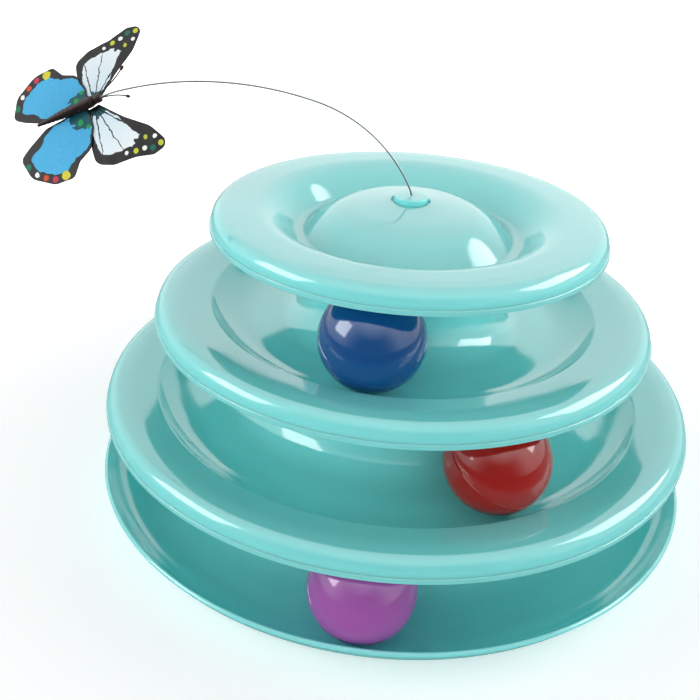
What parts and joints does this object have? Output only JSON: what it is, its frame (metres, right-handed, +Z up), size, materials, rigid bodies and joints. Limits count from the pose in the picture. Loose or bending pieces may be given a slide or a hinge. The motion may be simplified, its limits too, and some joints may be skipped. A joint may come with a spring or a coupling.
{
  "type": "cat ball track toy",
  "caption": "Round tiered ball track for a cat: stacked moulded rings with a ball trapped in each tier, a domed cover and a butterfly on a sprung wire.",
  "frame": {"origin": "on the tower's axis, on the surface it stands on", "axes": "+Z up along the tower's axis; the picture's camera stands towards -Y, and the butterfly hangs towards -X"},
  "size_m": [0.2923, 0.2558, 0.1872],
  "materials": {
    "turquoise_shell": "moulded, glossy",
    "purple_ball": "moulded, glossy",
    "red_ball": "moulded, glossy",
    "blue_ball": "moulded, glossy",
    "spring_wire": "drawn spring steel",
    "ferrule_metal": "plated, crimped",
    "black_body": "moulded, satin",
    "white_wing_film": "printed film",
    "blue_wing_film": "printed film",
    "foot_pad": "foam rubber"
  },
  "bodies": {
    "base": {"base_track": "turquoise_shell", "foot_pad_1": "foot_pad", "foot_pad_2": "foot_pad", "foot_pad_3": "foot_pad", "foot_pad_4": "foot_pad", "foot_pad_5": "foot_pad", "foot_pad_6": "foot_pad"},
    "lower_ring": {"lower_ring": "turquoise_shell"},
    "middle_ring": {"middle_ring": "turquoise_shell"},
    "top_cover": {"top_cover": "turquoise_shell"},
    "purple_ball": {"purple_ball_upper_shell": "purple_ball", "purple_ball_lower_shell": "purple_ball"},
    "red_ball": {"red_ball_upper_shell": "red_ball", "red_ball_lower_shell": "red_ball"},
    "blue_ball": {"blue_ball_upper_shell": "blue_ball", "blue_ball_lower_shell": "blue_ball"},
    "teaser_plug": {"teaser_plug": "turquoise_shell"},
    "teaser_wire": {"teaser_wire": "spring_wire", "wire_ferrule": "ferrule_metal"},
    "butterfly": {"butterfly_body": "black_body", "left_antenna": "black_body", "right_antenna": "black_body", "left_forewing": "white_wing_film", "right_forewing": "white_wing_film", "left_hindwing": "blue_wing_film", "right_hindwing": "blue_wing_film"}
  },
  "joints": [
    {"name": "lower_ring_lift", "type": "slide", "parent": "base", "child": "lower_ring", "axis": [0, 0, 1], "range_m": [0, 0.06]},
    {"name": "middle_ring_lift", "type": "slide", "parent": "lower_ring", "child": "middle_ring", "axis": [0, 0, 1], "range_m": [0, 0.06]},
    {"name": "top_cover_lift", "type": "slide", "parent": "middle_ring", "child": "top_cover", "axis": [0, 0, 1], "range_m": [0, 0.06]},
    {"name": "purple_ball_roll", "type": "hinge", "parent": "base", "child": "purple_ball", "pos_m": [0, 0, 0.0225], "axis": [0, 0, 1], "continuous": true},
    {"name": "red_ball_roll", "type": "hinge", "parent": "lower_ring", "child": "red_ball", "pos_m": [0, 0, 0.0609], "axis": [0, 0, 1], "continuous": true},
    {"name": "blue_ball_roll", "type": "hinge", "parent": "middle_ring", "child": "blue_ball", "pos_m": [0, 0, 0.0993], "axis": [0, 0, 1], "continuous": true},
    {"name": "plug_turn", "type": "hinge", "parent": "top_cover", "child": "teaser_plug", "pos_m": [0, 0, 0.13248], "axis": [0, 0, 1], "continuous": true},
    {"name": "wire_flex", "type": "hinge", "parent": "teaser_plug", "child": "teaser_wire", "pos_m": [0, 0, 0.13248], "axis": [0, 1, 0], "range_deg": [-15, 25], "stiffness_Nm_per_rad": 0.12, "springref_deg": 1.43},
    {"name": "butterfly_flutter", "type": "hinge", "parent": "teaser_wire", "child": "butterfly", "pos_m": [-0.12394, 0, 0.16352], "axis": [0.8949, 0, 0.4462], "range_deg": [-30, 30], "stiffness_Nm_per_rad": 0.01}
  ]
}
